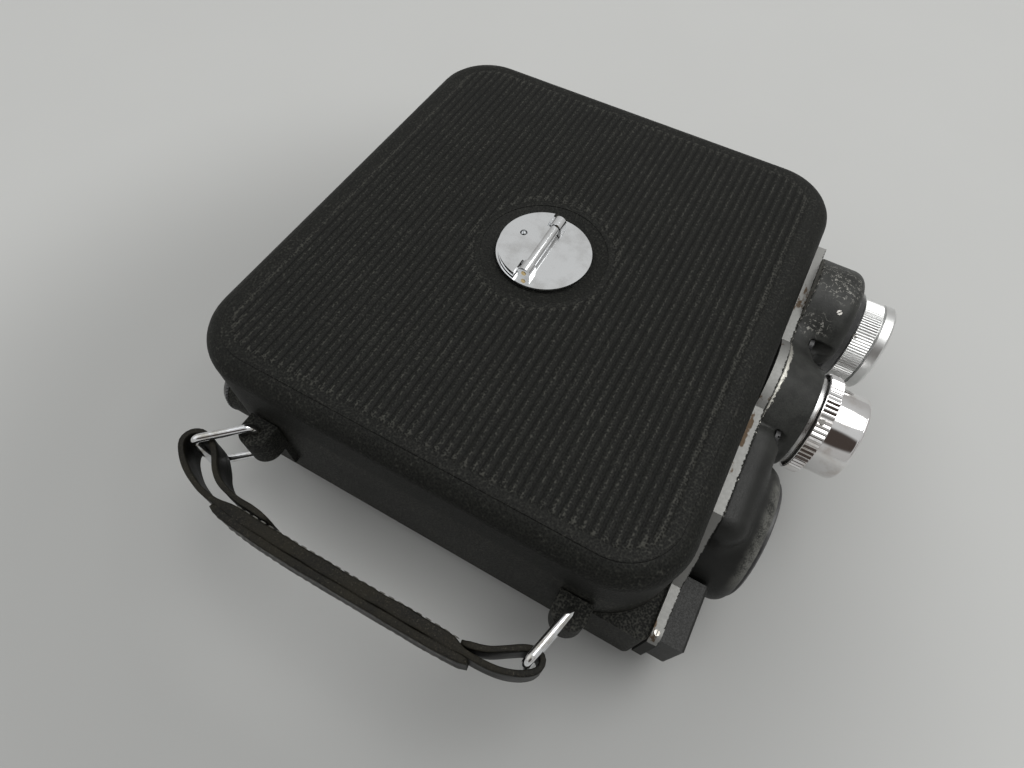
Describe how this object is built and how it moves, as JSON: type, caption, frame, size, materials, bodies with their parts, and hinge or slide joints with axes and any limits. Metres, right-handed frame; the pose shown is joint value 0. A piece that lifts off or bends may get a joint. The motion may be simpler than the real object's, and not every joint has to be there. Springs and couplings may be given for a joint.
{
  "type": "movie camera",
  "caption": "Spring-wound movie camera with lift-off film door, turn lock, lobed lens front, exposure dial, light meter, finder, folding winding key and leather carrying strap.",
  "frame": {"origin": "middle of the flat mechanism cover, on the surface the camera lies on, under the middle of the body's length and height", "axes": "+X out of the lenses, +Y towards the tripod side (the carrying strap is at -Y), +Z towards the film door; the camera lies on its mechanism side"},
  "size_m": [0.1465, 0.1519, 0.0565],
  "materials": {
    "wrinkle_paint": "fine wrinkle enamel, dark olive black",
    "housing_paint": "smooth dark enamel, worn at the edges",
    "bright_plate": "polished edge, lightly stained",
    "chrome": "polished",
    "black_gloss": "gloss black",
    "aluminium": "fine straight knurl and turned rim",
    "steel": "machined",
    "blued_steel": "blued",
    "brass": "machined",
    "lens_glass": "coated",
    "cell_glass": "moulded honeycomb",
    "cell_coat": "dark light-sensitive layer",
    "leather": "worn dark leather, pale stitches",
    "spool_metal": "satin black",
    "dial_enamel": "ivory enamel with dark plain figures"
  },
  "bodies": {
    "case": {"body_shell": "wrinkle_paint", "side_cover": "wrinkle_paint", "cover_screws": "steel", "counter_window": "lens_glass", "front_plate": "bright_plate", "front_housing": "housing_paint", "housing_screws": "steel", "lens_barrel": "aluminium", "lens_collar": "black_gloss", "front_glass": "lens_glass", "rear_glass": "lens_glass", "light_cell": "cell_coat", "cell_window": "cell_glass", "cell_bezel": "chrome", "meter_movement": "black_gloss", "finder_hood": "housing_paint", "finder_window": "lens_glass", "finder_tube": "aluminium", "eyepiece_ring": "black_gloss", "eyepiece_lens": "lens_glass", "tripod_bush": "steel", "release_spring": "steel", "supply_spindle": "steel", "film_gate": "steel", "plate_bracket": "steel", "bridge_plate": "brass"},
    "door": {"film_door": "wrinkle_paint"},
    "lock": {"lock_disc": "chrome", "lock_spindle": "steel", "flap_pin": "brass"},
    "flap": {"lock_flap": "chrome"},
    "focus": {"focus_ring": "aluminium"},
    "exposure": {"exposure_dial": "chrome", "exposure_shaft": "steel"},
    "idler": {"idler_gear": "brass"},
    "iris": {"iris_ring": "brass"},
    "needle": {"meter_needle": "blued_steel"},
    "release": {"release_button": "chrome"},
    "key": {"key_hub": "chrome", "key_pin": "steel", "drum_arbor": "steel"},
    "key_fold": {"key_handle": "chrome"},
    "drum": {"spring_drum": "brass", "main_spring": "blued_steel"},
    "centre": {"centre_wheel": "brass"},
    "takeup": {"takeup_wheel": "brass", "takeup_spool": "spool_metal"},
    "governor": {"governor": "brass"},
    "shutter": {"shutter_shaft": "steel", "shutter_disc": "spool_metal"},
    "counter": {"counter_dial": "dial_enamel"},
    "supply": {"supply_spool": "spool_metal"},
    "upper_guide": {"upper_roller": "spool_metal"},
    "lower_guide": {"lower_roller": "spool_metal"},
    "claw_arm": {"claw": "steel"},
    "pressure": {"pressure_plate": "steel"},
    "speed": {"speed_dial": "black_gloss"},
    "rear_loop": {"rear_bail": "chrome"},
    "front_loop": {"front_bail": "chrome"},
    "carry_strap": {"strap": "leather"}
  },
  "joints": [
    {"name": "door_lift", "type": "slide", "parent": "case", "child": "door", "axis": [0, 0, 1], "range_m": [0, 0.03]},
    {"name": "lock_turn", "type": "hinge", "parent": "door", "child": "lock", "pos_m": [0, 0.0005, 0.0536], "axis": [0, 0, 1], "range_deg": [0, 90]},
    {"name": "flap_fold", "type": "hinge", "parent": "lock", "child": "flap", "pos_m": [-0.0005, 0.0005, 0.05495], "axis": [0, 1, 0], "range_deg": [0, 95]},
    {"name": "focus_turn", "type": "hinge", "parent": "case", "child": "focus", "pos_m": [0.075, 0.0325, 0.032], "axis": [1, 0, 0], "range_deg": [0, 240]},
    {"name": "exposure_turn", "type": "hinge", "parent": "case", "child": "exposure", "pos_m": [0.0615, 0.0025, 0.032], "axis": [1, 0, 0], "range_deg": [0, 180]},
    {"name": "idler_turn", "type": "hinge", "parent": "case", "child": "idler", "pos_m": [0.064, 0.0175, 0.032], "axis": [1, 0, 0], "range_deg": [-360, 0]},
    {"name": "iris_turn", "type": "hinge", "parent": "case", "child": "iris", "pos_m": [0.064, 0.0325, 0.032], "axis": [1, 0, 0], "range_deg": [0, 180]},
    {"name": "needle_swing", "type": "hinge", "parent": "case", "child": "needle", "pos_m": [0.046, -0.0255, 0.0192], "axis": [0, 0, 1], "range_deg": [-35, 35]},
    {"name": "release_press", "type": "slide", "parent": "case", "child": "release", "axis": [-1, 0, 0], "range_m": [0, 0.0025], "stiffness_N_per_m": 300},
    {"name": "key_wind", "type": "hinge", "parent": "case", "child": "key", "pos_m": [-0.012, 0.013, 0.002], "axis": [0, 0, 1], "continuous": true},
    {"name": "key_unfold", "type": "hinge", "parent": "key", "child": "key_fold", "pos_m": [-0.012, 0.013, 0.0017], "axis": [1, 0, 0], "range_deg": [0, 90]},
    {"name": "drum_spin", "type": "hinge", "parent": "case", "child": "drum", "pos_m": [-0.012, 0.013, 0.01], "axis": [0, 0, 1], "continuous": true},
    {"name": "centre_spin", "type": "hinge", "parent": "case", "child": "centre", "pos_m": [0.01698, 0.024, 0.015], "axis": [0, 0, 1], "continuous": true},
    {"name": "takeup_spin", "type": "hinge", "parent": "case", "child": "takeup", "pos_m": [-0.02197, 0.026, 0.025], "axis": [0, 0, 1], "continuous": true},
    {"name": "governor_spin", "type": "hinge", "parent": "case", "child": "governor", "pos_m": [-0.01704, -0.01556, 0.015], "axis": [0, 0, 1], "continuous": true},
    {"name": "shutter_spin", "type": "hinge", "parent": "case", "child": "shutter", "pos_m": [0.04, 0.024, 0.02], "axis": [1, 0, 0], "continuous": true},
    {"name": "counter_turn", "type": "hinge", "parent": "case", "child": "counter", "pos_m": [-0.036, -0.031, 0.003], "axis": [0, 0, 1], "continuous": true},
    {"name": "supply_spin", "type": "hinge", "parent": "case", "child": "supply", "pos_m": [-0.022, -0.0295, 0.035], "axis": [0, 0, 1], "continuous": true},
    {"name": "upper_roll", "type": "hinge", "parent": "case", "child": "upper_guide", "pos_m": [0.0453, 0.0155, 0.035], "axis": [0, 0, 1], "continuous": true},
    {"name": "lower_roll", "type": "hinge", "parent": "case", "child": "lower_guide", "pos_m": [0.0453, 0.0495, 0.035], "axis": [0, 0, 1], "continuous": true},
    {"name": "claw_stroke", "type": "slide", "parent": "case", "child": "claw_arm", "axis": [0, 1, 0], "range_m": [0, 0.0038]},
    {"name": "pressure_lift", "type": "slide", "parent": "case", "child": "pressure", "axis": [-1, 0, 0], "range_m": [0, 0.0015], "stiffness_N_per_m": 100},
    {"name": "speed_turn", "type": "hinge", "parent": "case", "child": "speed", "pos_m": [0.03, -0.031, 0.0015], "axis": [0, 0, 1], "range_deg": [0, 150]},
    {"name": "rear_loop_swing", "type": "hinge", "parent": "case", "child": "rear_loop", "pos_m": [-0.039, -0.06665, 0.0305], "axis": [0, 0, 1], "range_deg": [-15, 15]},
    {"name": "strap_swing", "type": "hinge", "parent": "rear_loop", "child": "carry_strap", "pos_m": [-0.04865, -0.07565, 0.0305], "axis": [0, 0, 1], "range_deg": [-14, 14]},
    {"name": "front_loop_swing", "type": "hinge", "parent": "case", "child": "front_loop", "pos_m": [0.0425, -0.06665, 0.0305], "axis": [0, 0, 1], "range_deg": [-11, 11]}
  ],
  "couplings": [
    {"joint": "idler_turn", "follows": "exposure_turn", "ratio": -2},
    {"joint": "iris_turn", "follows": "exposure_turn", "ratio": 1},
    {"joint": "centre_spin", "follows": "drum_spin", "ratio": -5.2},
    {"joint": "takeup_spin", "follows": "drum_spin", "ratio": 0.94545},
    {"joint": "governor_spin", "follows": "drum_spin", "ratio": -8.6667},
    {"joint": "shutter_spin", "follows": "drum_spin", "ratio": -26},
    {"joint": "counter_turn", "follows": "drum_spin", "ratio": 0.0333},
    {"joint": "strap_swing", "follows": "rear_loop_swing", "ratio": -0.9178},
    {"joint": "front_loop_swing", "follows": "rear_loop_swing", "ratio": 0.726}
  ]
}
